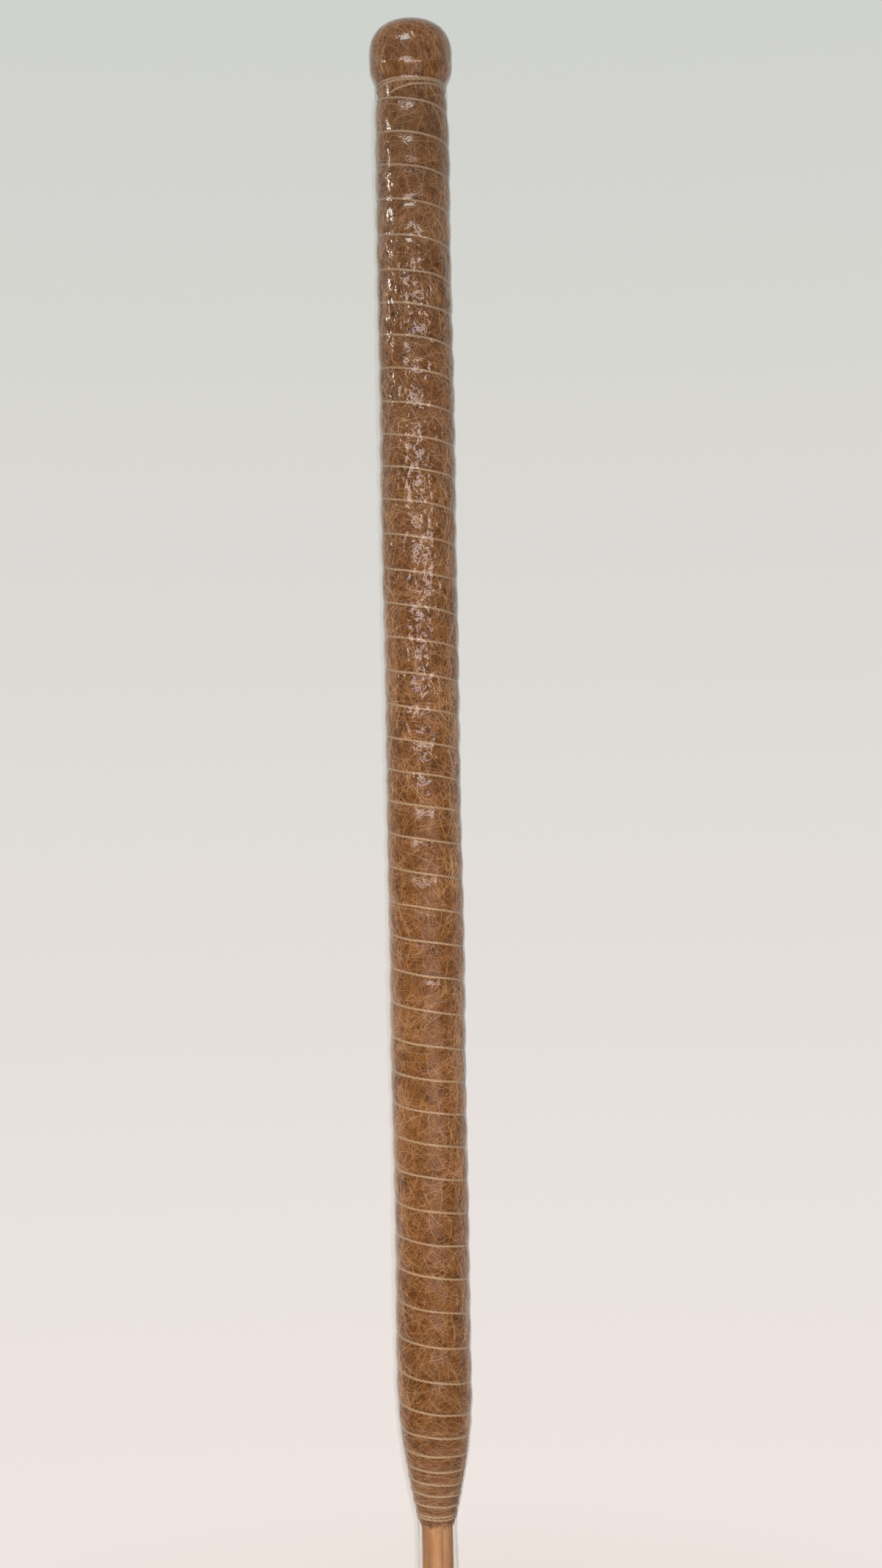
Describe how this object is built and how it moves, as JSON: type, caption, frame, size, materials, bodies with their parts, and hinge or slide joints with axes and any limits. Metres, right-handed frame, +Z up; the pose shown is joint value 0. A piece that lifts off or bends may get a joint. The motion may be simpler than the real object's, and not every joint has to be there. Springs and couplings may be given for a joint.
{
  "type": "coir climbing pole",
  "caption": "Climbing-plant pole: a bamboo cane padded with brown coir, bound with spiral twine, with a rounded coir cap and a clear shrink-film sleeve; its bare foot goes into the soil.",
  "frame": {"origin": "middle of the cane's sawn foot face", "axes": "+Z runs up the cane to the crown of the cap; -Y is the front that the picture shows; the film's welded seam runs down the -X side"},
  "size_m": [0.0581, 0.056, 1.2206],
  "materials": {
    "bamboo": "peeled bamboo, pale pinkish tan with fine straight grain",
    "coir": "matted coconut fibre, from dark brown to straw",
    "twine": "thin two-ply jute twine, pale tan and hairy",
    "film": "clear shrink film, glossy and finely wrinkled"
  },
  "bodies": {
    "root": {"bamboo_cane": "bamboo", "coir_core_padding": "coir", "coir_sleeve_mat": "coir", "coir_top_cap": "coir", "neck_tie": "twine", "binding_twine": "twine", "foot_tie": "twine", "clear_film_sleeve": "film"}
  },
  "joints": []
}
